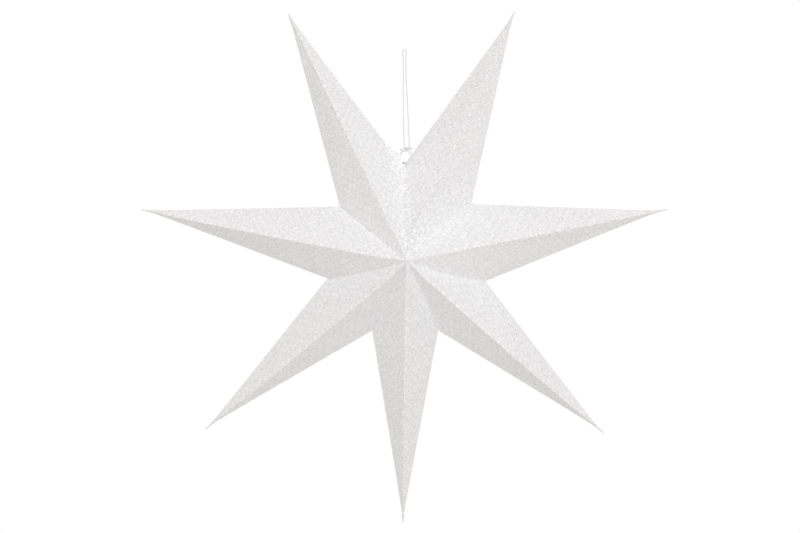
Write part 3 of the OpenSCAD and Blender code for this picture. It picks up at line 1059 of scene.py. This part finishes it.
# Width in metres of the fine threads, and how steeply they lie along the cord
THREAD = 0.00022
THREAD_LIE = 0.9
FUZZ = (5200, 3, 0.6)
CORD_TONE, THREAD_TONE, FUZZ_TONE = 0.55, 0.2, 0.9
CORD_BUMP = (0.6, 0.00006)
CORD_ROUGHNESS, CORD_SHEEN = 0.85, 0.25


def cord_material():
    """White twisted cotton."""
    material, n = new_material("cord")
    _, x, y = n.card_coordinates()
    lie = n.add(n.times(x, THREAD_LIE), y)
    threads = n.math("SINE", n.times(lie, 2 * math.pi / THREAD))
    fuzz = n.noise(n.new("TexCoord").outputs["Object"], *FUZZ)
    tone = n.add(CORD_TONE, n.add(n.times(threads, THREAD_TONE), n.swing(fuzz, FUZZ_TONE)))
    mix = n.new("Mix")
    mix.data_type = "RGBA"
    n.put(mix.inputs[0], tone)
    n.put(mix.inputs[6], CORD_SHADE)
    n.put(mix.inputs[7], CORD_COLOUR)
    shader = n.new("BsdfPrincipled")
    n.link(mix.outputs[2], shader.inputs["Base Color"])
    shader.inputs["Roughness"].default_value = CORD_ROUGHNESS
    shader.inputs["Sheen Weight"].default_value = CORD_SHEEN
    n.link(n.bump(n.add(threads, fuzz), *CORD_BUMP), shader.inputs["Normal"])
    n.finish("OutputMaterial", shader.outputs[0])
    return material


card = card_material()
cord = cord_material()
for pieces, material in ((pouches, card), ((cord_loop, cord_knot), cord)):
    for piece in pieces:
        piece.data.materials.clear()
        piece.data.materials.append(material)

# Light and floor

FILL_LIGHT = 0.684
FILL_COLOUR = (1, 0.972, 0.935, 1)
WHITE = (1, 1, 1, 1)
KEY_POWER = 40.8
KEY_COLOUR = (0.955, 0.965, 1.035)
KEY_DIRECTION = Vector((0.1, -0.9375, 0.3325))
KEY_DISTANCE = 3.0
KEY_SIZE = 1.6
# Place and half size of the floor in metres, its colour in other light, and how it looks to the camera
FLOOR_Z = -1.35
FLOOR_SIZE = 2.6
FLOOR_COLOUR = (0.85, 0.85, 0.84, 1)
FLOOR_SEEN = (0.6, 0.6, 0.6, 1)
FLOOR_GLOW = 0.78


def seen_directly(n):
    """1 for rays from the camera and those that a mirror or clear glass would send on."""
    path = n.new("LightPath")
    seen = n.math("MAXIMUM", path.outputs["Is Camera Ray"], path.outputs["Is Glossy Ray"])
    return n.math("MAXIMUM", seen, path.outputs["Is Transmission Ray"])


def make_world():
    """Warm fill light from all sides, in front of a white background."""
    world = bpy.data.worlds.new("studio")
    world.use_nodes = True
    n = Nodes(world.node_tree)
    fill = n.new("Background")
    fill.inputs[0].default_value = FILL_COLOUR
    fill.inputs[1].default_value = FILL_LIGHT
    white = n.new("Background")
    white.inputs[0].default_value = WHITE
    white.inputs[1].default_value = 1.0
    n.finish("OutputWorld", n.mix_shader(seen_directly(n), fill.outputs[0], white.outputs[0]))
    bpy.context.scene.world = world


def make_key():
    """A soft lamp in front of the star, a little above it."""
    data = bpy.data.lights.new("key", "AREA")
    data.shape = "SQUARE"
    data.size = KEY_SIZE
    data.energy = KEY_POWER
    data.color = KEY_COLOUR
    light = add_object("key", data)
    aim = KEY_DIRECTION.normalized()
    light.location = STAR_MIDDLE * MM + aim * KEY_DISTANCE
    light.rotation_euler = (-aim).to_track_quat("-Z", "Y").to_euler()


def make_floor():
    """A plain pale floor, far under the star."""
    a, z = FLOOR_SIZE, FLOOR_Z
    mesh = bpy.data.meshes.new("floor")
    mesh.from_pydata([(-a, -a, z), (a, -a, z), (a, a, z), (-a, a, z)], [], [(0, 1, 2, 3)])
    floor = add_object("floor", mesh)
    material, n = new_material("floor")
    plain = n.new("BsdfDiffuse")
    plain.inputs[0].default_value = FLOOR_COLOUR
    dim = n.new("BsdfDiffuse")
    dim.inputs[0].default_value = FLOOR_SEEN
    glow = n.new("Emission")
    glow.inputs[0].default_value = WHITE
    glow.inputs[1].default_value = FLOOR_GLOW
    both = n.new("AddShader")
    n.link(dim.outputs[0], both.inputs[0])
    n.link(glow.outputs[0], both.inputs[1])
    n.finish("OutputMaterial", n.mix_shader(seen_directly(n), plain.outputs[0], both.outputs[0]))
    mesh.materials.append(material)


make_world()
make_key()
make_floor()
bpy.context.scene.view_settings.view_transform = "Standard"
